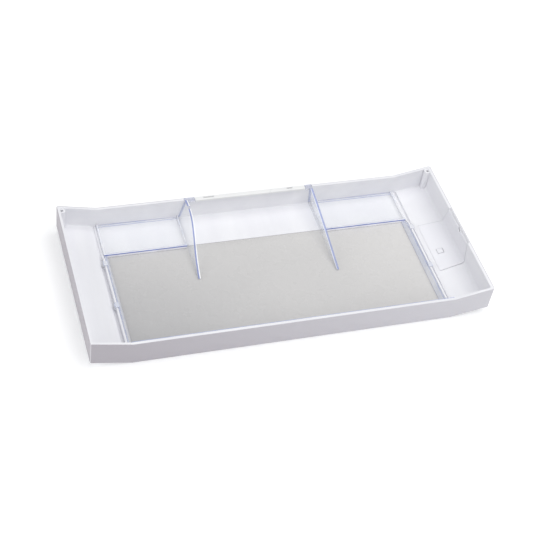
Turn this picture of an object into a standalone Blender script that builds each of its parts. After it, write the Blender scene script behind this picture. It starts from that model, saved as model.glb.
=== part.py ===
"""Shallow moulded cash-drawer tray with turned-up ends, a clear floor window and a clear lift-out insert.

Frame: metres, +Z up, X along the tray, -Y is the front. The origin is the centre of the underside.
"""
import math

import bmesh
import bpy
from mathutils import Matrix, Vector

# Overall shape of the white moulding
LENGTH = 0.400
DEPTH = 0.180
WALL_HEIGHT = 0.0264
WALL = 0.003
FLOOR = 0.0026
KINK_X = 0.160
WING_RISE = 0.0087
CORNER_RADIUS = 0.002
BOTTOM_RADIUS = 0.0016
RIM_RADIUS = 0.0006
FILLET_RADIUS = 0.0012
WING_FILLET = 0.004
WING_STEP_X = 0.166
WING_STEP = 0.0007
GAP = 0.0003

# Floor window and the clear panel that closes it
WINDOW_X = 0.156
WINDOW_FRONT_Y = -0.079
LEDGE_Y = 0.043
REBATE = 0.0035
REBATE_FLOOR = 0.0009

# Ribs of the moulding beside the window, and the groove behind each
RIB_X = 0.161
RIB_WIDTH = 0.0018
RIB_TOP = 0.008
RIB_LOW = 0.0040
RIB_RAMP_Y = (0.036, 0.047)

# Clear side rails, front rail and their clips
RAIL_TOP = 0.0074
RAIL_CREST = 0.001
FRONT_RAIL_TOP = 0.0254
FRONT_RAIL_WIDTH = 0.0018
CLIP_PLACES = {"rear": 0.030, "front": -0.025}
CLIP_WIDTH = 0.006
CLIP_THICKNESS = 0.0012
CLIP_HOOK_Z = 0.0048
CLIP_HOOK_SLANT = 0.0008
CLEAR_ROUNDING = 0.0004

# Clear shelves in the rear corners
SHELF_PLATE = 0.0010
SHELF_RISE = 0.0014
SHELF_LIP = 0.0036
SHELF_LIP_WIDTH = 0.0020
SHELF_NOTCH_WIDTH = 0.006
SHELF_NOTCH_FROM_END = 0.010

# Clear dividers: place of the foot, lean in metres per metre of height, tip, and the crest's middle points
DIVIDER_THICKNESS = 0.0025
DIVIDER_REAR_Y = 0.0867
DIVIDERS = {
    "left": {"foot_x": -0.07445, "lean": 0.25, "tip_y": -0.001, "bulge": ((0.050, 0.0320), (0.042, 0.0140))},
    "right": {"foot_x": 0.06725, "lean": -0.07, "tip_y": -0.012, "bulge": ((0.055, 0.0225), (0.020, 0.0130))},
}
DIVIDER_CURVE_STEPS = 22
DIVIDER_TIP_HEIGHT = 0.0012
DIVIDER_TIP_CUT = 0.0006

# White strip let into the rear rim, and the divider hooks beside it
SEAT_Z = 0.0246
STRIP_TOP = 0.0269
STRIP_HALF = 0.0590
STRIP_INNER_Y = 0.0848
STRIP_SLOTS = ((-0.0445, 0.0110), (0.0425, 0.0065))
STRIP_SLOT_WIDTH = 0.0016
STRIP_SLOT_Y = 0.0878
HOOK_INNER_Y = 0.0840

# Screw bosses in the rear corners
BOSS_X = 0.1954
BOSS_Y = 0.0840
BOSS_RADIUS = 0.0035
BOSS_TOP = 0.0336
PILOT_RADIUS = 0.00145
PILOT_DEPTH = 0.012

# Flush cover on the right wing, which narrows towards the rim; half widths at its root, wall foot and top
COVER_ROOT_X = 0.1708
COVER_ROOT_SLANT = 0.0017
COVER_HALF_ROOT = 0.0325
COVER_FOOT_X = 0.1938
COVER_HALF_FOOT = 0.0308
COVER_FOOT_Z = 0.0106
COVER_HALF_TOP = 0.0250
COVER_TOP_Z = 0.0330
COVER_THICKNESS = 0.0009
COVER_CLEARANCE = 0.0005
COVER_SHIFT = 0.0002
NOTCH_DEPTH = 0.0020
RECESS_OVERLAP = 0.0004
THUMB_Y = -0.0038
THUMB_RADIUS = 0.0030
TAB_X = 0.1802
TAB_ROOT_Y = -0.0043
TAB_LENGTH = 0.0062
TAB_WIDTH = 0.0060
TAB_SLIT = 0.0006
TAB_BARB_LENGTH = 0.0014
TAB_BARB_DEPTH = 0.0020
TAB_BARB_INSET = 0.0008
TAB_WELL_RELIEF = 0.0024

CURVE_STEPS = 8
OVERSHOOT = 0.02


# ---------------------------------------------------------------- scene and materials
def empty_scene():
    for obj in list(bpy.data.objects):
        bpy.data.objects.remove(obj, do_unlink=True)
    for name in ("cash_drawer_tray", "cutters"):
        old = bpy.data.collections.get(name)
        if old is not None:
            bpy.data.collections.remove(old)
    parts = bpy.data.collections.new("cash_drawer_tray")
    cutters = bpy.data.collections.new("cutters")
    bpy.context.scene.collection.children.link(parts)
    bpy.context.scene.collection.children.link(cutters)
    return parts, cutters


PARTS, CUTTERS = empty_scene()


def principled(name, colour, roughness, metallic=0.0, alpha=1.0, transmission=0.0):
    material = bpy.data.materials.new(name)
    material.use_nodes = True
    shader = material.node_tree.nodes["Principled BSDF"]
    shader.inputs["Base Color"].default_value = (*colour, 1.0)
    shader.inputs["Roughness"].default_value = roughness
    shader.inputs["Metallic"].default_value = metallic
    shader.inputs["Alpha"].default_value = alpha
    shader.inputs["Transmission Weight"].default_value = transmission
    return material


WHITE = principled("white_abs", (0.80, 0.80, 0.82), 0.42)
WHITE_GLOSS = principled("white_strip_plastic", (0.88, 0.88, 0.88), 0.30)
CLEAR = principled("clear_plastic", (0.80, 0.84, 0.92), 0.08, alpha=0.35, transmission=0.9)
SMOKE = principled("clear_panel_plastic", (0.52, 0.52, 0.50), 0.12, alpha=0.45, transmission=0.8)


# ---------------------------------------------------------------- mesh helpers
def link_part(obj, material):
    obj.data.materials.clear()
    obj.data.materials.append(material)
    PARTS.objects.link(obj)
    return obj


def link_cutter(obj):
    obj.hide_render = True
    obj.display_type = "WIRE"
    CUTTERS.objects.link(obj)
    return obj


def flat_solid(name, outline, low, high, plane):
    """Solid with a flat outline: plane "XZ" runs along Y, "YZ" along X and "XY" along Z, from low to high."""
    curve = bpy.data.curves.new(name, "CURVE")
    curve.dimensions = "2D"
    curve.fill_mode = "BOTH"
    curve.extrude = (high - low) / 2
    spline = curve.splines.new("POLY")
    spline.points.add(len(outline) - 1)
    for point, (u, v) in zip(spline.points, outline):
        point.co = (u, v, 0, 1)
    spline.use_cyclic_u = True
    middle = (low + high) / 2
    turn = {
        "XY": Matrix.Translation((0, 0, middle)),
        "XZ": Matrix.Translation((0, middle, 0)) @ Matrix.Rotation(math.radians(90), 4, "X"),
        "YZ": Matrix.Translation((middle, 0, 0))
        @ Matrix.Rotation(math.radians(90), 4, "Z")
        @ Matrix.Rotation(math.radians(90), 4, "X"),
    }[plane]
    guide = bpy.data.objects.new(name + "_outline", curve)
    CUTTERS.objects.link(guide)
    bpy.context.view_layer.update()
    depsgraph = bpy.context.evaluated_depsgraph_get()
    mesh = bpy.data.meshes.new_from_object(guide.evaluated_get(depsgraph))
    bpy.data.objects.remove(guide, do_unlink=True)
    mesh.transform(turn)
    bm = bmesh.new()
    bm.from_mesh(mesh)
    bmesh.ops.remove_doubles(bm, verts=bm.verts, dist=0.00001)
    bmesh.ops.dissolve_limit(bm, angle_limit=math.radians(0.5), verts=bm.verts, edges=bm.edges)
    bmesh.ops.recalc_face_normals(bm, faces=bm.faces)
    bm.to_mesh(mesh)
    bm.free()
    mesh.name = name
    return bpy.data.objects.new(name, mesh)


def box(name, low, high):
    """Box between two corners."""
    low, high = Vector(low), Vector(high)
    mesh = bpy.data.meshes.new(name)
    bm = bmesh.new()
    bmesh.ops.create_cube(bm, size=1.0)
    bmesh.ops.scale(bm, vec=high - low, verts=bm.verts)
    bmesh.ops.translate(bm, vec=(low + high) / 2, verts=bm.verts)
    bm.to_mesh(mesh)
    bm.free()
    return bpy.data.objects.new(name, mesh)


def upright_cylinder(name, radius, x, y, bottom, top, sides=32):
    mesh = bpy.data.meshes.new(name)
    bm = bmesh.new()
    bmesh.ops.create_cone(bm, cap_ends=True, segments=sides, radius1=radius, radius2=radius, depth=top - bottom)
    bmesh.ops.translate(bm, vec=(x, y, (top + bottom) / 2), verts=bm.verts)
    bm.to_mesh(mesh)
    bm.free()
    return bpy.data.objects.new(name, mesh)


def round_edges(obj, wanted, radius, segments):
    """Bevel the edges whose two ends satisfy wanted(first, second)."""
    bm = bmesh.new()
    bm.from_mesh(obj.data)
    edges = [edge for edge in bm.edges if wanted(edge.verts[0].co, edge.verts[1].co)]
    bmesh.ops.bevel(
        bm, geom=edges, offset=radius, offset_type="OFFSET", segments=segments, profile=0.5, affect="EDGES"
    )
    bm.to_mesh(obj.data)
    bm.free()


def combine(obj, other, operation):
    modifier = obj.modifiers.new(operation.lower() + "_" + other.name, "BOOLEAN")
    modifier.operation = operation
    modifier.solver = "EXACT"
    modifier.object = link_cutter(other)


def cut(obj, *cutters):
    for cutter in cutters:
        combine(obj, cutter, "DIFFERENCE")


def join(obj, *pieces):
    for piece in pieces:
        combine(obj, piece, "UNION")


def apply_modifiers(obj):
    """Give the object the mesh that its modifiers make, in triangles."""
    bpy.context.scene.collection.objects.link(obj)
    bpy.context.view_layer.update()
    depsgraph = bpy.context.evaluated_depsgraph_get()
    mesh = bpy.data.meshes.new_from_object(obj.evaluated_get(depsgraph))
    bpy.context.scene.collection.objects.unlink(obj)
    obj.modifiers.clear()
    obj.data = mesh
    bm = bmesh.new()
    bm.from_mesh(mesh)
    bmesh.ops.triangulate(bm, faces=bm.faces)
    bm.to_mesh(mesh)
    bm.free()


def soften(obj, width, segments=2, angle=40):
    modifier = obj.modifiers.new("soft_edges", "BEVEL")
    modifier.width = width
    modifier.segments = segments
    modifier.limit_method = "ANGLE"
    modifier.angle_limit = math.radians(angle)
    return modifier


def set_origin(obj, point):
    obj.data.transform(Matrix.Translation(-Vector(point)))
    obj.location = point


def guide_empty(name, point):
    guide = bpy.data.objects.new(name, None)
    guide.location = point
    guide.empty_display_size = 0.01
    PARTS.objects.link(guide)
    return guide


def ride_on(obj, guide):
    obj.parent = guide
    obj.matrix_parent_inverse = Matrix.Translation(-guide.location)


# ---------------------------------------------------------------- shared outlines
WING_SLOPE = WING_RISE / (LENGTH / 2 - KINK_X)
WING_ANGLE = math.atan(WING_SLOPE)
INNER_X = LENGTH / 2 - WALL
INNER_Y = DEPTH / 2 - WALL


def wing_floor_z(x):
    """Height of the wing's upper face, on its straight part."""
    return FLOOR + WING_STEP + WING_SLOPE * (x - KINK_X)


def wing_curve(offset, root_x, top_z):
    """Points up the right wing's inner face, moved by offset into the material: floor, fillet, end wall."""
    corner = Vector((INNER_X, wing_floor_z(INNER_X)))
    turn = math.radians(90) - WING_ANGLE
    tangent = WING_FILLET * math.tan(turn / 2)
    centre = Vector((INNER_X - WING_FILLET, corner.y + tangent))
    sink = offset / math.cos(WING_ANGLE)
    points = [Vector((root_x, wing_floor_z(root_x) - sink))]
    for step in range(CURVE_STEPS + 1):
        angle = -math.radians(90) + WING_ANGLE + turn * step / CURVE_STEPS
        radius = WING_FILLET + offset
        points.append(centre + radius * Vector((math.cos(angle), math.sin(angle))))
    points.append(Vector((INNER_X + offset, top_z)))
    return [(point.x, point.y) for point in points]


def mirrored(points):
    return [(-u, v) for u, v in reversed(points)]


# ---------------------------------------------------------------- white moulding
def outer_block():
    half = LENGTH / 2
    right = [
        (KINK_X, 0.0),
        (half, WING_RISE),
        (half, WALL_HEIGHT + WING_RISE),
        (KINK_X, WALL_HEIGHT),
    ]
    block = flat_solid("tray_shell", right + mirrored(right), -DEPTH / 2, DEPTH / 2, "XZ")

    def bottom_edge(a, b):
        def low(p):
            return p.z < WING_RISE + 0.001
        both_low = low(a) and low(b)
        on_side = abs(a.y - b.y) < 1e-5 or abs(abs(a.x) - half) < 1e-5
        across = abs(a.y - b.y) > 1e-4 and abs(abs(a.x) - half) > 1e-4
        return both_low and on_side and not across

    def upright(a, b):
        return abs(a.z - b.z) > WALL_HEIGHT / 2

    round_edges(block, upright, CORNER_RADIUS, 4)
    round_edges(block, bottom_edge, BOTTOM_RADIUS, 3)
    return block


def cavity():
    """The space inside the walls."""
    top = WALL_HEIGHT + WING_RISE + OVERSHOOT
    right = [(WING_STEP_X - WING_STEP / 2, FLOOR)] + wing_curve(0.0, WING_STEP_X, top)
    space = flat_solid("cavity", right + mirrored(right), -INNER_Y, INNER_Y, "XZ")

    def against_wall(a, b):
        return abs(a.y - b.y) < 1e-6 and min(a.z, b.z) < top - 1e-4 and max(a.z, b.z) < top + 1e-4

    round_edges(space, against_wall, FILLET_RADIUS, 3)
    return space


def window_cutters():
    hole = box(
        "window_hole",
        (-WINDOW_X, WINDOW_FRONT_Y, -OVERSHOOT),
        (WINDOW_X, LEDGE_Y, OVERSHOOT),
    )
    rebate = box(
        "window_rebate",
        (-WINDOW_X - REBATE, WINDOW_FRONT_Y - REBATE, REBATE_FLOOR),
        (WINDOW_X + REBATE, LEDGE_Y + REBATE, FLOOR + GAP),
    )
    return hole, rebate


def window_rib(side):
    sign = {"left": -1, "right": 1}[side]
    buried = WALL / 3
    outline = [
        (-INNER_Y - buried, FLOOR - buried),
        (INNER_Y + buried, FLOOR - buried),
        (INNER_Y + buried, RIB_LOW),
        (RIB_RAMP_Y[1], RIB_LOW),
        (RIB_RAMP_Y[0], RIB_TOP),
        (-INNER_Y - buried, RIB_TOP),
    ]
    ends = sorted((sign * RIB_X, sign * (RIB_X + RIB_WIDTH)))
    rib = flat_solid("rib_" + side, outline, ends[0], ends[1], "YZ")
    return rib


def corner_boss(side):
    sign = {"left": -1, "right": 1}[side]
    return upright_cylinder("boss_" + side, BOSS_RADIUS, sign * BOSS_X, BOSS_Y, WING_RISE, BOSS_TOP)


def pilot_hole(side):
    sign = {"left": -1, "right": 1}[side]
    return upright_cylinder(
        "pilot_" + side, PILOT_RADIUS, sign * BOSS_X, BOSS_Y, BOSS_TOP - PILOT_DEPTH, BOSS_TOP + OVERSHOOT, 20
    )


def hook_span(side):
    """X range of a divider's hook in the rear rim."""
    data = DIVIDERS[side]
    top_x = data["foot_x"] + data["lean"] * (SEAT_Z - FLOOR)
    outer = top_x + math.copysign(DIVIDER_THICKNESS / 2, top_x)
    inner = math.copysign(STRIP_HALF + GAP, top_x)
    return sorted((outer, inner))


def rim_seat():
    """Cutter that lowers the rear rim for the strip and the two hooks."""
    low = hook_span("left")[0] - GAP
    high = hook_span("right")[1] + GAP
    return box("rim_seat", (low, INNER_Y - 0.001, SEAT_Z), (high, DEPTH / 2 + OVERSHOOT, WALL_HEIGHT + OVERSHOOT))


def cover_blank(name, low, high, root_x, under_root_x, top_z, gap):
    """Piece of the right wing's skin between two depths, with the cover's narrowing outline grown by gap."""
    outline = wing_curve(low, root_x, top_z)
    outline += reversed(wing_curve(high, under_root_x, top_z))
    wide = COVER_HALF_ROOT + OVERSHOOT
    blank = flat_solid(name, outline, -wide, wide, "XZ")
    root, foot, top = (half + gap for half in (COVER_HALF_ROOT, COVER_HALF_FOOT, COVER_HALF_TOP))
    plan = [
        (COVER_ROOT_X - OVERSHOOT, -root),
        (COVER_ROOT_X, -root),
        (COVER_FOOT_X, -foot),
        (LENGTH, -foot),
        (LENGTH, foot),
        (COVER_FOOT_X, foot),
        (COVER_ROOT_X, root),
        (COVER_ROOT_X - OVERSHOOT, root),
    ]
    side_view = [
        (-wide, -OVERSHOOT),
        (wide, -OVERSHOOT),
        (wide, COVER_FOOT_Z),
        (foot, COVER_FOOT_Z),
        (top, COVER_TOP_Z),
        (top, LENGTH),
        (-top, LENGTH),
        (-top, COVER_TOP_Z),
        (-foot, COVER_FOOT_Z),
        (-wide, COVER_FOOT_Z),
    ]
    combine(blank, flat_solid(name + "_plan", plan, -OVERSHOOT, LENGTH, "XY"), "INTERSECT")
    combine(blank, flat_solid(name + "_side_view", side_view, 0.0, LENGTH, "YZ"), "INTERSECT")
    apply_modifiers(blank)
    return blank


def cover_recess():
    """Cutter for the cover's seat, with a wider gap along the front edge than along the rear one."""
    above = -RECESS_OVERLAP
    depth = COVER_THICKNESS + COVER_CLEARANCE
    slant = COVER_ROOT_SLANT * (depth - above) / COVER_THICKNESS
    root_x = COVER_ROOT_X - COVER_CLEARANCE + COVER_ROOT_SLANT * above / COVER_THICKNESS
    rim = WALL_HEIGHT + WING_RISE + OVERSHOOT
    recess = cover_blank("cover_recess", above, depth, root_x, root_x + slant, rim, COVER_CLEARANCE)
    recess.data.transform(Matrix.Translation((0.0, -COVER_SHIFT, 0.0)))
    return recess


def rim_notch():
    """Cutter that lowers the inner part of the right-hand rim over the cover."""
    half = COVER_HALF_TOP + COVER_CLEARANCE
    low = (INNER_X - NOTCH_DEPTH, -half, COVER_TOP_Z)
    return box("rim_notch", low, (INNER_X + NOTCH_DEPTH, half, WALL_HEIGHT + WING_RISE + OVERSHOOT))


def tab_frame():
    """Frame of the snap tab: origin on its hinge line, X up the wing's slope, Z out of the wing's face."""
    middle = Vector((TAB_X, TAB_ROOT_Y, wing_floor_z(TAB_X)))
    return Matrix.Translation(middle) @ Matrix.Rotation(-WING_ANGLE, 4, "Y")


def tab_box(name, low, high):
    piece = box(name, low, high)
    piece.data.transform(tab_frame())
    return piece


def tab_well():
    """Hole through the wing under the snap tab, longer down the slope so that the barb comes out with the cover."""
    half = TAB_WIDTH / 2 + TAB_SLIT
    low = (-half - TAB_WELL_RELIEF, -TAB_LENGTH - TAB_SLIT, -OVERSHOOT)
    return tab_box("tab_well", low, (half, 0.0, OVERSHOOT))


def rim_height(x):
    return WALL_HEIGHT + WING_SLOPE * max(0.0, abs(x) - KINK_X)


def round_rim(shell):
    """Round the top edges of the walls."""
    bm = bmesh.new()
    bm.from_mesh(shell.data)

    def on_rim(vertex):
        return abs(vertex.co.z - rim_height(vertex.co.x)) < 0.00002

    def sharp(edge):
        return len(edge.link_faces) == 2 and edge.calc_face_angle() > math.radians(60)

    edges = [edge for edge in bm.edges if on_rim(edge.verts[0]) and on_rim(edge.verts[1]) and sharp(edge)]
    bmesh.ops.bevel(
        bm, geom=edges, offset=RIM_RADIUS, offset_type="OFFSET", segments=3, profile=0.5, affect="EDGES",
        clamp_overlap=True,
    )
    bm.to_mesh(shell.data)
    bm.free()


def tray_shell():
    shell = outer_block()
    cut(shell, cavity())
    join(shell, window_rib("left"), window_rib("right"), corner_boss("left"), corner_boss("right"))
    cut(shell, *window_cutters(), rim_seat(), cover_recess(), rim_notch(), tab_well())
    cut(shell, pilot_hole("left"), pilot_hole("right"))
    apply_modifiers(shell)
    round_rim(shell)
    return link_part(shell, WHITE)


# ---------------------------------------------------------------- clear insert
def window_panel():
    edge = REBATE - GAP
    panel = box(
        "window_panel",
        (-WINDOW_X - edge, WINDOW_FRONT_Y - edge, REBATE_FLOOR + GAP),
        (WINDOW_X + edge, LEDGE_Y + edge, FLOOR),
    )
    soften(panel, 0.0002, 1)
    return link_part(panel, SMOKE)


def side_rail(side):
    """Wedge beside the window: its inner face slopes from the panel up to a narrow crest."""
    sign = {"left": -1, "right": 1}[side]
    bottom = FLOOR + GAP
    outer = RIB_X - GAP
    outline = [
        (sign * (WINDOW_X + GAP), bottom),
        (sign * outer, bottom),
        (sign * outer, RAIL_TOP),
        (sign * (outer - RAIL_CREST), RAIL_TOP),
    ]
    front = -INNER_Y + FRONT_RAIL_WIDTH + 2 * GAP
    rail = flat_solid("side_rail_" + side, outline, front, LEDGE_Y - GAP, "XZ")
    ramp_length = LEDGE_Y - RIB_RAMP_Y[0]
    rear_ramp = box("rail_ramp_" + side, (-RIB_X, 0.0, 0.0), (RIB_X, 3 * ramp_length, 2 * RAIL_TOP))
    ramp_angle = math.atan2(RIB_TOP - RIB_LOW, RIB_RAMP_Y[1] - RIB_RAMP_Y[0])
    rear_ramp.data.transform(
        Matrix.Translation((0.0, RIB_RAMP_Y[0], RAIL_TOP)) @ Matrix.Rotation(-ramp_angle, 4, "X")
    )
    cut(rail, rear_ramp)
    return link_part(rail, CLEAR)


def front_rail():
    y = -INNER_Y + GAP
    outline = [
        (y, FLOOR + GAP + FILLET_RADIUS),
        (y + FILLET_RADIUS, FLOOR + GAP),
        (y + FRONT_RAIL_WIDTH, FLOOR + GAP),
        (y + FRONT_RAIL_WIDTH, FRONT_RAIL_TOP - CLEAR_ROUNDING),
        (y + FRONT_RAIL_WIDTH - CLEAR_ROUNDING, FRONT_RAIL_TOP),
        (y, FRONT_RAIL_TOP),
    ]
    rail = flat_solid("front_rail", outline, -RIB_X + GAP, RIB_X - GAP, "YZ")
    return link_part(rail, CLEAR)


def rail_clip(side, place):
    """Hook that bridges the rib and turns down into the groove behind it."""
    sign = {"left": -1, "right": 1}[side]
    inner = RIB_X - GAP - RAIL_CREST
    outer = RIB_X + RIB_WIDTH + GAP
    under = RIB_TOP + GAP
    outline = [
        (sign * inner, under),
        (sign * outer, under),
        (sign * outer, CLIP_HOOK_Z),
        (sign * (outer + CLIP_THICKNESS), CLIP_HOOK_Z + CLIP_HOOK_SLANT),
        (sign * (outer + CLIP_THICKNESS), under + CLIP_THICKNESS / 2),
        (sign * (outer + CLIP_THICKNESS / 2), under + CLIP_THICKNESS),
        (sign * inner, under + CLIP_THICKNESS),
    ]
    y = CLIP_PLACES[place]
    clip = flat_solid(f"rail_clip_{side}_{place}", outline, y - CLIP_WIDTH / 2, y + CLIP_WIDTH / 2, "XZ")
    return link_part(clip, CLEAR)


def shelf(side):
    """Shallow clear tray on the rear ledge, between an end of the window and a divider."""
    sign = {"left": -1, "right": 1}[side]
    data = DIVIDERS[side]
    inner = abs(data["foot_x"]) + DIVIDER_THICKNESS / 2 + GAP
    outer = RIB_X - GAP
    bottom = FLOOR + GAP
    front = LEDGE_Y
    rear = INNER_Y - GAP
    chamfer = FILLET_RADIUS
    side_section = [
        (front, bottom),
        (rear - chamfer, bottom),
        (rear, bottom + chamfer),
        (rear, bottom + SHELF_LIP),
        (front, bottom + SHELF_LIP),
    ]
    ends = sorted((sign * inner, sign * outer))
    tray = flat_solid("shelf_" + side, side_section, ends[0], ends[1], "YZ")
    pocket_floor = bottom + SHELF_PLATE
    pocket = [
        (sign * (inner + SHELF_LIP_WIDTH / 2), pocket_floor),
        (sign * (outer - SHELF_LIP_WIDTH), pocket_floor + SHELF_RISE),
        (sign * (outer - SHELF_LIP_WIDTH), OVERSHOOT),
        (sign * (inner + SHELF_LIP_WIDTH / 2), OVERSHOOT),
    ]
    hollow = flat_solid("pocket_" + side, pocket, front + SHELF_LIP_WIDTH, rear + OVERSHOOT, "XZ")
    notch_near = inner + SHELF_NOTCH_FROM_END
    notch_ends = sorted((sign * notch_near, sign * (notch_near + SHELF_NOTCH_WIDTH)))
    notch = box(
        "shelf_notch_" + side,
        (notch_ends[0], front + SHELF_LIP_WIDTH / 2, pocket_floor + SHELF_PLATE),
        (notch_ends[1], front + 2 * SHELF_LIP_WIDTH, OVERSHOOT),
    )
    cut(tray, hollow, notch)
    return link_part(tray, CLEAR)


# ---------------------------------------------------------------- dividers and rear strip
def bezier(points, count):
    """Points along a cubic curve with four control points."""
    first, second, third, fourth = (Vector(point) for point in points)
    result = []
    for step in range(count + 1):
        t = step / count
        s = 1 - t
        place = s**3 * first + 3 * s * s * t * second + 3 * s * t * t * third + t**3 * fourth
        result.append((place.x, place.y))
    return result


def divider(side):
    """Leaning fin: high at the rear wall, curving down to a low tip over the window."""
    data = DIVIDERS[side]
    bottom = FLOOR + GAP
    top = STRIP_TOP - 0.0002
    crest = bezier(
        ((DIVIDER_REAR_Y, top), *data["bulge"], (data["tip_y"], bottom + DIVIDER_TIP_HEIGHT)), DIVIDER_CURVE_STEPS
    )
    foot = [
        (data["tip_y"] + DIVIDER_TIP_CUT, bottom),
        (DIVIDER_REAR_Y - FILLET_RADIUS, bottom),
        (DIVIDER_REAR_Y, bottom + FILLET_RADIUS),
    ]
    half = DIVIDER_THICKNESS / 2
    fin = flat_solid("divider_" + side, crest + foot, data["foot_x"] - half, data["foot_x"] + half, "YZ")
    shear = Matrix.Identity(4)
    shear[0][2] = data["lean"]
    shear[0][3] = -data["lean"] * FLOOR
    fin.data.transform(shear)
    low, high = hook_span(side)
    hook = box("hook_" + side, (low, HOOK_INNER_Y, SEAT_Z + GAP), (high, DEPTH / 2, STRIP_TOP - 0.0002))
    join(fin, hook)
    return link_part(fin, CLEAR)


def rim_strip():
    """Bar let into the rear rim between the divider hooks, with two slots."""
    strip = box("rim_strip", (-STRIP_HALF, STRIP_INNER_Y, SEAT_Z + GAP), (STRIP_HALF, DEPTH / 2, STRIP_TOP))
    round_edges(strip, lambda a, b: a.z > SEAT_Z + 0.001 and b.z > SEAT_Z + 0.001, 0.0004, 2)
    for number, (middle, length) in enumerate(STRIP_SLOTS):
        slot = box(
            f"strip_slot_{number}",
            (middle - length / 2, STRIP_SLOT_Y - STRIP_SLOT_WIDTH / 2, 0.0),
            (middle + length / 2, STRIP_SLOT_Y + STRIP_SLOT_WIDTH / 2, 2 * STRIP_TOP),
        )
        cut(strip, slot)
    return link_part(strip, WHITE_GLOSS)


# ---------------------------------------------------------------- wing cover
def wing_cover():
    """Thin plate that follows the right wing's floor, fillet and end wall, flush in its recess."""
    root = COVER_ROOT_X
    cover = cover_blank("wing_cover", 0.0, COVER_THICKNESS, root, root + COVER_ROOT_SLANT, COVER_TOP_Z, 0.0)
    half = TAB_WIDTH / 2 + TAB_SLIT
    reach = 2 * COVER_THICKNESS
    opening = tab_box("cover_opening", (-half, -TAB_LENGTH - TAB_SLIT, -reach), (half, 0.0, reach))
    thumb_notch = upright_cylinder("thumb_notch", THUMB_RADIUS, 0.0, 0.0, -NOTCH_DEPTH, NOTCH_DEPTH)
    thumb_notch.data.transform(
        Matrix.Translation((INNER_X, THUMB_Y, COVER_TOP_Z)) @ Matrix.Rotation(math.radians(90), 4, "Y")
    )
    cut(cover, opening, thumb_notch)
    return link_part(cover, WHITE)


def cover_tab():
    """Snap tab in the cover, with a barb that reaches into the hole under it."""
    half = TAB_WIDTH / 2
    barb_half = half - TAB_BARB_INSET
    tab = tab_box("cover_tab", (-half, -TAB_LENGTH, -COVER_THICKNESS), (half, -GAP, 0.0))
    barb = tab_box(
        "tab_barb",
        (-barb_half, -TAB_LENGTH, -COVER_THICKNESS - TAB_BARB_DEPTH),
        (barb_half, -TAB_LENGTH + TAB_BARB_LENGTH, -COVER_THICKNESS / 2),
    )
    join(tab, barb)
    apply_modifiers(tab)
    set_origin(tab, tab_frame().translation)
    return link_part(tab, WHITE)


# ---------------------------------------------------------------- assembly
def build():
    tray_shell()
    rim_strip()
    insert = guide_empty("insert_lift", (0.0, 0.0, FLOOR))
    pieces = [window_panel(), front_rail()]
    for side in ("left", "right"):
        pieces += [side_rail(side), shelf(side)]
        pieces += [rail_clip(side, place) for place in CLIP_PLACES]
    for piece in pieces:
        ride_on(piece, insert)
    for side in ("left", "right"):
        guide = guide_empty("divider_lift_" + side, (DIVIDERS[side]["foot_x"], 0.0, FLOOR))
        ride_on(divider(side), guide)
    cover_guide = guide_empty("cover_lift", (TAB_X, 0.0, wing_floor_z(TAB_X)))
    ride_on(wing_cover(), cover_guide)
    ride_on(cover_tab(), cover_guide)
    bpy.context.view_layer.update()


build()
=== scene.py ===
"""Looks, light and camera for the cash-drawer tray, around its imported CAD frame."""
import math

import bmesh
import bpy
from mathutils import Matrix, Vector


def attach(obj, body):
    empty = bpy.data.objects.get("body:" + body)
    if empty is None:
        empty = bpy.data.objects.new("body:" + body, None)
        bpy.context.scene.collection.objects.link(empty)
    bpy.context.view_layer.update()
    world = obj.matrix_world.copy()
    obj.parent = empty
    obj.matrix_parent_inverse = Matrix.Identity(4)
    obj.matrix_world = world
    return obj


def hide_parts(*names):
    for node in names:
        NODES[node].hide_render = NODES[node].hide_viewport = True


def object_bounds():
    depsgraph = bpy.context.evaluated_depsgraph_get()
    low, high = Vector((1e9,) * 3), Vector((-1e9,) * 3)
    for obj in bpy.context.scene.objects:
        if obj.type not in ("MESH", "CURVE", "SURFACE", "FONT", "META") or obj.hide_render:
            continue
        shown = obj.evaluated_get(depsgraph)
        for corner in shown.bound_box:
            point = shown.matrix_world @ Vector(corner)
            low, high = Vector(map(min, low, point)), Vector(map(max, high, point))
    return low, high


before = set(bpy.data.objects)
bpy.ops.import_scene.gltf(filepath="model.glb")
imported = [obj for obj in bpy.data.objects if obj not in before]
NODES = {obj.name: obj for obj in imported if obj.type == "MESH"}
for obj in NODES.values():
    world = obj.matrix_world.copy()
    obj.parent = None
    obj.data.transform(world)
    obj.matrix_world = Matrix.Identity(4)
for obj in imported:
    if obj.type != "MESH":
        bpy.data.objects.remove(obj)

CAD_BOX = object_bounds()
OUTER_X, OUTER_Y = CAD_BOX[1][0], CAD_BOX[1][1]

# Camera: where it looks, from which side, and how it is rolled about its own axis
CAMERA_AZIMUTH = -23.365
CAMERA_ELEVATION = 46.096
CAMERA_ROLL = 10.093
CAMERA_DISTANCE = 1.2788
CAMERA_OFFSET = (-0.00428, 0.00514)
CAMERA_LENS = 86.23
SENSOR_WIDTH = 36.0

# Studio
FLOOR_COLOUR = (0.96, 0.96, 0.96)
FLOOR_SIZE = 8.0
FLOOR_GLOW = 0.14
FLOOR_DROP = 0.0002
WORLD_COLOUR = (0.96, 0.98, 1.0)
WORLD_STRENGTH = 0.42

# White mouldings: lighter and darker tones of the mottling, and how far it is drawn out along the tray's depth
SHELL_TONES = ((0.885, 0.883, 0.908), (0.832, 0.830, 0.865))
STRIP_TONES = ((0.90, 0.90, 0.89), (0.87, 0.87, 0.87))
COVER_TONES = ((0.863, 0.861, 0.895), (0.838, 0.835, 0.875))
MOTTLE_STRETCH = 0.14
# Painted shade on the outer skin of the shell, darker at its left end: its tones at the left end and at the
# right end, and the depth over which it fades in
OUTER_PAINTED_SHADE = ((0.42, 0.395, 0.43), (0.61, 0.60, 0.64))
SKIN_INNER, SKIN_OUTER = 0.0008, 0.0002
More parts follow.
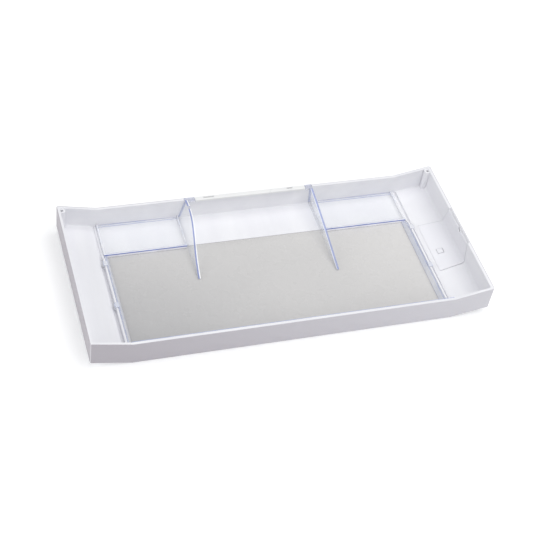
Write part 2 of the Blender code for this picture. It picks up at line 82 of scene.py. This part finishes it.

# Window panel: deep and pale tones of the painted shadow seen through it, and the stretch of the floor over
# which they change
PANEL_SHADOW_DEEP = (0.545, 0.54, 0.545)
PANEL_SHADOW_PALE = (0.89, 0.872, 0.855)
PANEL_FRONT_Y, PANEL_REAR_Y = -0.08, 0.045
PANEL_HALF_LENGTH = 0.16
PANEL_ALPHA = 0.72

# Clear plastic: refraction, edge roundings and the angles that count as sharp
CLEAR_IOR = 1.49
MERGE_DISTANCE = 0.000005
FLAT_ANGLE = math.radians(0.5)
ROUNDED_ANGLE = math.radians(35)
SMOOTH_ANGLE = math.radians(50)
FIN_ROUNDING = 0.0004
SHELF_ROUNDING = 0.0003
SIDE_RAIL_ROUNDING = 0.00035
FRONT_RAIL_ROUNDING = 0.0004
CLIP_ROUNDING = 0.0002
FIN_AREA = 0.0002
SHEET_AREA = 0.0004
SHELF_LIP_TOP = 0.0014
STRIPE_BLEND = 0.0001

# Material slots of a clear piece; the third slot holds the painted glint, edge line and glow of a crest or a
# lip
BROAD, NARROW, PAINTED_GLINT, LINE, SOFT_LINE, TRACE = range(6)


# ---------------------------------------------------------------- node helpers
def new_material(name):
    material = bpy.data.materials.new(name)
    material.use_nodes = True
    tree = material.node_tree
    return material, tree, tree.nodes["Principled BSDF"]


def add(tree, kind, **settings):
    node = tree.nodes.new(kind)
    for key, value in settings.items():
        setattr(node, key, value)
    return node


def object_noise(tree, scale, detail=4.0, roughness=0.55, stretch=(1, 1, 1)):
    """Noise in the object's own coordinates, in metres."""
    coords = add(tree, "ShaderNodeTexCoord")
    mapping = add(tree, "ShaderNodeMapping")
    mapping.inputs["Scale"].default_value = stretch
    tree.links.new(coords.outputs["Object"], mapping.inputs["Vector"])
    noise = add(tree, "ShaderNodeTexNoise")
    noise.inputs["Scale"].default_value = scale
    noise.inputs["Detail"].default_value = detail
    noise.inputs["Roughness"].default_value = roughness
    tree.links.new(mapping.outputs["Vector"], noise.inputs["Vector"])
    return noise.outputs["Fac"]


def ramp(tree, factor, stops):
    node = add(tree, "ShaderNodeValToRGB")
    elements = node.color_ramp.elements
    while len(elements) < len(stops):
        elements.new(0.5)
    for element, (position, colour) in zip(elements, stops):
        element.position = position
        element.color = (*colour, 1.0)
    tree.links.new(factor, node.inputs["Fac"])
    return node.outputs["Color"]


def spread(tree, factor, low, high):
    node = add(tree, "ShaderNodeMapRange")
    node.inputs["From Min"].default_value = 0.25
    node.inputs["From Max"].default_value = 0.75
    node.inputs["To Min"].default_value = low
    node.inputs["To Max"].default_value = high
    tree.links.new(factor, node.inputs["Value"])
    return node.outputs["Result"]


def bump(tree, shader, factor, strength, distance):
    node = add(tree, "ShaderNodeBump")
    node.inputs["Strength"].default_value = strength
    node.inputs["Distance"].default_value = distance
    tree.links.new(factor, node.inputs["Height"])
    tree.links.new(node.outputs["Normal"], shader.inputs["Normal"])


# ---------------------------------------------------------------- materials
def absolute(tree, value):
    node = add(tree, "ShaderNodeMath", operation="ABSOLUTE")
    tree.links.new(value, node.inputs[0])
    return node.outputs["Value"]


def outer_shade_mask(tree, x, y):
    """1 on the outer faces of the side walls, where the shade is painted, 0 from a millimetre inside them."""
    masks = []
    for value, limit in ((x, OUTER_X), (y, OUTER_Y)):
        step = add(tree, "ShaderNodeMapRange")
        step.inputs["From Min"].default_value = limit - SKIN_INNER
        step.inputs["From Max"].default_value = limit - SKIN_OUTER
        tree.links.new(absolute(tree, value), step.inputs["Value"])
        masks.append(step.outputs["Result"])
    either = add(tree, "ShaderNodeMath", operation="MAXIMUM")
    tree.links.new(masks[0], either.inputs[0])
    tree.links.new(masks[1], either.inputs[1])
    return either.outputs["Value"]


def white_plastic(name, tones, roughness, grain, painted_outer_shade=None):
    """Moulded plastic: faint mottling, a fine spark-eroded grain and uneven polish.

    painted_outer_shade gives the painted shade of the outer skin, its greyer colours at the left end and at the
    right end.
    """
    light, shade = tones
    material, tree, shader = new_material(name)
    mottle = object_noise(tree, 34.0, 5.0, stretch=(1, MOTTLE_STRETCH, 1))
    colour = ramp(tree, mottle, [(0.35, shade), (0.65, light)])
    # Painted shade: the outer faces of the walls are greyed, darker towards the left end.
    if painted_outer_shade:
        coords = add(tree, "ShaderNodeTexCoord")
        place = add(tree, "ShaderNodeSeparateXYZ")
        tree.links.new(coords.outputs["Object"], place.inputs["Vector"])
        along = add(tree, "ShaderNodeMapRange")
        along.inputs["From Min"].default_value = -OUTER_X
        along.inputs["From Max"].default_value = OUTER_X
        tree.links.new(place.outputs["X"], along.inputs["Value"])
        skin = ramp(tree, along.outputs["Result"], [(0.0, painted_outer_shade[0]), (1.0, painted_outer_shade[1])])
        blend = add(tree, "ShaderNodeMix", data_type="RGBA")
        tree.links.new(outer_shade_mask(tree, place.outputs["X"], place.outputs["Y"]), blend.inputs["Factor"])
        tree.links.new(colour, blend.inputs["A"])
        tree.links.new(skin, blend.inputs["B"])
        colour = blend.outputs["Result"]
    tree.links.new(colour, shader.inputs["Base Color"])
    polish = object_noise(tree, 60.0, 3.0)
    tree.links.new(spread(tree, polish, roughness - 0.05, roughness + 0.06), shader.inputs["Roughness"])
    bump(tree, shader, object_noise(tree, 2600.0, 2.0), grain, 0.00004)
    shader.inputs["IOR"].default_value = 1.5
    return material


def clear_face(name, tint, facing_alpha, edge_on_alpha, roughness):
    """Broad face of clear plastic: nearly nothing seen square on, a pale sheen seen edge on."""
    material, tree, shader = new_material(name)
    haze = object_noise(tree, 55.0, 3.0)
    lighter = tuple(min(1.0, channel * 1.05) for channel in tint)
    tree.links.new(ramp(tree, haze, [(0.3, tint), (0.7, lighter)]), shader.inputs["Base Color"])
    tree.links.new(spread(tree, haze, roughness, roughness + 0.05), shader.inputs["Roughness"])
    weight = add(tree, "ShaderNodeLayerWeight")
    weight.inputs["Blend"].default_value = 0.35
    clearness = add(tree, "ShaderNodeMapRange")
    clearness.inputs["To Min"].default_value = facing_alpha
    clearness.inputs["To Max"].default_value = edge_on_alpha
    tree.links.new(weight.outputs["Facing"], clearness.inputs["Value"])
    tree.links.new(clearness.outputs["Result"], shader.inputs["Alpha"])
    shader.inputs["IOR"].default_value = CLEAR_IOR
    bump(tree, shader, object_noise(tree, 70.0, 2.0), 0.10, 0.0002)
    return material


def clear_side(name, light, shade, alpha):
    """Narrow side of clear plastic: pale, with the light that the sheet gathers painted into its colour."""
    material, tree, shader = new_material(name)
    glow = object_noise(tree, 90.0, 3.0, 0.5)
    tree.links.new(ramp(tree, glow, [(0.35, shade), (0.65, light)]), shader.inputs["Base Color"])
    tree.links.new(spread(tree, glow, 0.10, 0.22), shader.inputs["Roughness"])
    shader.inputs["Alpha"].default_value = alpha
    shader.inputs["IOR"].default_value = CLEAR_IOR
    bump(tree, shader, object_noise(tree, 300.0, 2.0), 0.15, 0.0001)
    return material


def clear_striped(name, direction, at, low, high, alpha, painted_glow):
    """Narrow side of clear plastic with painted light in two tones, a pale glint and a dark blue edge line: low
    before the plane at, high past it.

    The last argument is the strength of the painted glow that comes out of it, though it is no lamp.
    """
    material, tree, shader = new_material(name)
    coords = add(tree, "ShaderNodeTexCoord")
    along = add(tree, "ShaderNodeVectorMath", operation="DOT_PRODUCT")
    tree.links.new(coords.outputs["Object"], along.inputs[0])
    along.inputs[1].default_value = direction
    step = add(tree, "ShaderNodeMapRange")
    step.inputs["From Min"].default_value = at - STRIPE_BLEND
    step.inputs["From Max"].default_value = at + STRIPE_BLEND
    tree.links.new(along.outputs["Value"], step.inputs["Value"])
    glow = object_noise(tree, 70.0, 3.0, 0.5)
    tones = []
    for tone in (low, high):
        deeper = tuple(channel * 0.85 for channel in tone)
        tones.append(ramp(tree, glow, [(0.35, deeper), (0.65, tone)]))
    blend = add(tree, "ShaderNodeMix", data_type="RGBA")
    tree.links.new(step.outputs["Result"], blend.inputs["Factor"])
    tree.links.new(tones[0], blend.inputs["A"])
    tree.links.new(tones[1], blend.inputs["B"])
    tree.links.new(blend.outputs["Result"], shader.inputs["Base Color"])
    tree.links.new(blend.outputs["Result"], shader.inputs["Emission Color"])
    shader.inputs["Emission Strength"].default_value = painted_glow
    tree.links.new(spread(tree, glow, 0.14, 0.26), shader.inputs["Roughness"])
    shader.inputs["Alpha"].default_value = alpha
    shader.inputs["IOR"].default_value = CLEAR_IOR
    shader.inputs["Specular IOR Level"].default_value = 0.25
    return material


def shadowed_panel(name):
    """Window panel: clear sheet, satin in its roughness, with painted shadow in its colour, darker towards the
    front and the left.
    """
    material, tree, shader = new_material(name)
    coords = add(tree, "ShaderNodeTexCoord")
    split = add(tree, "ShaderNodeSeparateXYZ")
    tree.links.new(coords.outputs["Object"], split.inputs["Vector"])
    depth = add(tree, "ShaderNodeMapRange")
    depth.inputs["From Min"].default_value = PANEL_FRONT_Y
    depth.inputs["From Max"].default_value = PANEL_REAR_Y
    tree.links.new(split.outputs["Y"], depth.inputs["Value"])
    cloud = object_noise(tree, 7.0, 1.5, 0.4)
    across = add(tree, "ShaderNodeMapRange")
    across.inputs["From Min"].default_value = -PANEL_HALF_LENGTH
    across.inputs["From Max"].default_value = PANEL_HALF_LENGTH
    tree.links.new(split.outputs["X"], across.inputs["Value"])
    tilt = add(tree, "ShaderNodeMix")
    tilt.inputs["Factor"].default_value = 0.60
    tree.links.new(depth.outputs["Result"], tilt.inputs["A"])
    tree.links.new(across.outputs["Result"], tilt.inputs["B"])
    mixed = add(tree, "ShaderNodeMix")
    mixed.inputs["Factor"].default_value = 0.35
    tree.links.new(tilt.outputs["Result"], mixed.inputs["A"])
    tree.links.new(cloud, mixed.inputs["B"])
    # Painted shadow of the ground below: darker towards the front and the left, with a little random cloud.
    colour = ramp(tree, mixed.outputs["Result"], [(0.10, PANEL_SHADOW_DEEP), (0.90, PANEL_SHADOW_PALE)])
    tree.links.new(colour, shader.inputs["Base Color"])
    tree.links.new(spread(tree, object_noise(tree, 45.0, 3.0), 0.22, 0.34), shader.inputs["Roughness"])
    shader.inputs["Alpha"].default_value = PANEL_ALPHA
    shader.inputs["IOR"].default_value = CLEAR_IOR
    bump(tree, shader, object_noise(tree, 1500.0, 2.0), 0.10, 0.00003)
    return material


def assign(node, material):
    mesh = NODES[node].data
    mesh.materials.clear()
    mesh.materials.append(material)


# ---------------------------------------------------------------- clear pieces
def clear_copy(node, finishes, body, face_slot, edge_slot, rounding):
    """Replace a clear CAD node by a copy with rounded edges.

    finishes are its materials in slot order. face_slot(normal, area) gives a face's slot,
    and edge_slot(normal) gives the slot of a rounded edge.
    """
    mesh = NODES[node].data.copy()
    mesh.materials.clear()
    for material in finishes:
        mesh.materials.append(material)
    bm = bmesh.new()
    bm.from_mesh(mesh)
    bmesh.ops.remove_doubles(bm, verts=bm.verts, dist=MERGE_DISTANCE)
    bmesh.ops.dissolve_limit(bm, angle_limit=FLAT_ANGLE, verts=bm.verts, edges=bm.edges)
    for polygon in bm.faces:
        polygon.material_index = face_slot(polygon.normal, polygon.calc_area())
    sharp = [e for e in bm.edges if len(e.link_faces) == 2 and e.calc_face_angle() > ROUNDED_ANGLE]
    bmesh.ops.bevel(
        bm, geom=sharp, offset=rounding, offset_type="OFFSET", segments=2, profile=0.5, affect="EDGES",
        clamp_overlap=True, material=LINE,
    )
    for polygon in bm.faces:
        if polygon.material_index == LINE:
            polygon.material_index = edge_slot(polygon.normal)
    bm.to_mesh(mesh)
    bm.free()
    mesh.shade_smooth()
    mesh.set_sharp_from_angle(angle=SMOOTH_ANGLE)
    piece = bpy.data.objects.new(node + "_clear", mesh)
    bpy.context.scene.collection.objects.link(piece)
    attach(piece, body)
    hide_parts(node)
    return piece


def fin_face(normal, area):
    """Slots of a divider's faces: its crest carries the painted glint and edge line, its foot is hardly seen.
    """
    if abs(normal.x) > 0.9:
        return BROAD if area > FIN_AREA else NARROW
    if normal.z > 0.999:
        return NARROW
    if normal.y > 0.9:
        return SOFT_LINE
    return PAINTED_GLINT if normal.z > 0.05 else TRACE


def fin_edge(normal):
    if normal.z > 0.05:
        return PAINTED_GLINT
    return LINE if normal.y > 0.5 else TRACE


def shelf_face(normal, area):
    if normal.y < -0.9:
        return PAINTED_GLINT
    return BROAD if abs(normal.z) > 0.95 and area > SHEET_AREA else NARROW


def shelf_edge(normal):
    if abs(normal.x) > 0.2:
        return TRACE
    if normal.z < -0.2:
        return SOFT_LINE if normal.y < 0 else LINE
    return LINE if abs(normal.y) > 0.2 else NARROW


def rail_face(normal, area):
    return BROAD if max(abs(normal.x), abs(normal.y)) > 0.9 and area > SHEET_AREA else NARROW


def rail_edge(normal):
    return SOFT_LINE


def front_rail_edge(normal):
    return LINE if normal.z > 0.3 else SOFT_LINE


def clip_face(normal, area):
    return NARROW


def clip_edge(normal):
    return SOFT_LINE if normal.z > 0.3 else TRACE


def fin_plane(node):
    """Unit normal towards +X and mid-plane offset of a divider's fin, from its two broad faces."""
    mesh = NODES[node].data
    largest = max(mesh.polygons, key=lambda face: face.area)
    normal = largest.normal * math.copysign(1.0, largest.normal.x)
    offsets = [normal.dot(face.center) for face in mesh.polygons if abs(face.normal.dot(normal)) > 0.9999]
    return normal, (min(offsets) + max(offsets)) / 2


def clear_pieces():
    sheet = clear_face("clear_sheet", (0.92, 0.94, 0.98), 0.05, 0.30, 0.06)
    side_face = clear_side("clear_side", (0.98, 0.98, 1.00), (0.84, 0.87, 0.96), 0.62)
    # Blue edge lines: painted light that the sheet carries to its edges.
    line = clear_side("clear_line", (0.34, 0.44, 0.88), (0.16, 0.25, 0.72), 0.75)
    soft_line = clear_side("soft_line", (0.60, 0.66, 0.90), (0.42, 0.48, 0.76), 0.60)
    trace = clear_side("clear_trace", (0.95, 0.96, 1.00), (0.80, 0.84, 0.96), 0.14)
    # The fin's hook faces are painted greyer: painted shade of the gap between fin and rim strip.
    hook = clear_side("clear_hook_shade", (0.68, 0.69, 0.80), (0.56, 0.58, 0.70), 0.55)
    # Each crest: how far past the fin's mid-plane its tone changes, its left tone and its right tone; the pale
    # tone is a painted glint, the blue tone a painted edge line, each on the side it shows from this camera
    crests = {
        "left": (0.0002, (0.23, 0.28, 0.56), (1.0, 1.0, 1.0)),
        "right": (-0.0006, (0.80, 0.82, 0.90), (0.33, 0.38, 0.64)),
    }

    rail = (sheet, side_face, side_face, line, soft_line, trace)
    for side, (shift, low, high) in crests.items():
        normal, middle = fin_plane("divider_" + side)
        crest = clear_striped("crest_" + side, normal, middle + shift, low, high, 0.88, 0.06)
        fin = (sheet, hook, crest, line, soft_line, trace)
        clear_copy("divider_" + side, fin, side + "_divider", fin_face, fin_edge, FIN_ROUNDING)

        lip_z = max(v.co.z for v in NODES["shelf_" + side].data.vertices) - SHELF_LIP_TOP
        # Lip: a pale painted glint on its front face, a dark blue painted edge line along its top, and a
        # painted glow.
        lip = clear_striped("lip_" + side, (0, 0, 1), lip_z, (0.94, 0.94, 0.99), (0.17, 0.21, 0.50), 0.92, 0.16)
        tray = (sheet, side_face, lip, line, soft_line, trace)
        clear_copy("shelf_" + side, tray, "insert", shelf_face, shelf_edge, SHELF_ROUNDING)
        clear_copy("side_rail_" + side, rail, "insert", rail_face, rail_edge, SIDE_RAIL_ROUNDING)
        for place in ("rear", "front"):
            name = f"rail_clip_{side}_{place}"
            clear_copy(name, rail, "insert", clip_face, clip_edge, CLIP_ROUNDING)
    clear_copy("front_rail", rail, "insert", rail_face, front_rail_edge, FRONT_RAIL_ROUNDING)


def dress():
    # The shell's outer faces carry painted shade, darker at the left end.
    shell = white_plastic("shell_white", SHELL_TONES, 0.42, 0.25, OUTER_PAINTED_SHADE)
    strip = white_plastic("strip_white", STRIP_TONES, 0.30, 0.10)
    cover = white_plastic("cover_white", COVER_TONES, 0.42, 0.25)
    assign("tray_shell", shell)
    assign("rim_strip", strip)
    assign("wing_cover", cover)
    assign("cover_tab", cover)
    assign("window_panel", shadowed_panel("panel_painted_shadow"))
    clear_pieces()


# ---------------------------------------------------------------- studio
def floor():
    bpy.ops.mesh.primitive_plane_add(size=FLOOR_SIZE, location=(0, 0, -FLOOR_DROP))
    plane = bpy.context.object
    plane.name = "studio_floor"
    material, tree, shader = new_material("studio_floor")
    shader.inputs["Base Color"].default_value = (*FLOOR_COLOUR, 1)
    shader.inputs["Roughness"].default_value = 0.9
    shader.inputs["Specular IOR Level"].default_value = 0.0
    shader.inputs["Emission Color"].default_value = (1.0, 1.0, 1.0, 1)
    shader.inputs["Emission Strength"].default_value = FLOOR_GLOW
    plane.data.materials.append(material)


def area_light(name, location, size, power):
    """Rectangular light that faces the middle of the tray."""
    data = bpy.data.lights.new(name, "AREA")
    data.shape = "RECTANGLE"
    data.size, data.size_y = size
    data.energy = power
    lamp = bpy.data.objects.new(name, data)
    lamp.location = location
    lamp.rotation_euler = (-Vector(location)).to_track_quat("-Z", "Y").to_euler()
    bpy.context.scene.collection.objects.link(lamp)


def lights():
    world = bpy.data.worlds.new("studio")
    bpy.context.scene.world = world
    world.use_nodes = True
    background = world.node_tree.nodes["Background"]
    background.inputs["Color"].default_value = (*WORLD_COLOUR, 1)
    background.inputs["Strength"].default_value = WORLD_STRENGTH
    area_light("overhead", (0.9, -0.2, 3.0), (3.6, 3.2), 63.0)
    area_light("left_fill", (-2.2, -0.3, 1.3), (1.6, 1.6), 18.0)
    area_light("front_fill", (0.4, -2.5, 1.5), (1.6, 1.6), 12.0)


def camera():
    azimuth, elevation, roll = (math.radians(v) for v in (CAMERA_AZIMUTH, CAMERA_ELEVATION, CAMERA_ROLL))
    back = Vector((
        math.sin(azimuth) * math.cos(elevation),
        -math.cos(azimuth) * math.cos(elevation),
        math.sin(elevation),
    ))
    level_right = Vector((math.cos(azimuth), math.sin(azimuth), 0))
    level_up = back.cross(level_right)
    right = math.cos(roll) * level_right + math.sin(roll) * level_up
    up = back.cross(right)
    place = CAMERA_OFFSET[0] * right + CAMERA_OFFSET[1] * up + CAMERA_DISTANCE * back
    data = bpy.data.cameras.new("camera")
    data.lens = CAMERA_LENS
    data.sensor_width = SENSOR_WIDTH
    data.clip_start = 0.05
    data.clip_end = 30
    shooter = bpy.data.objects.new("camera", data)
    turn = Matrix((right, up, back)).transposed().to_4x4()
    shooter.matrix_world = Matrix.Translation(place) @ turn
    bpy.context.scene.collection.objects.link(shooter)
    bpy.context.scene.camera = shooter


camera()
floor()
lights()
dress()
bpy.context.scene.view_settings.view_transform = "Standard"
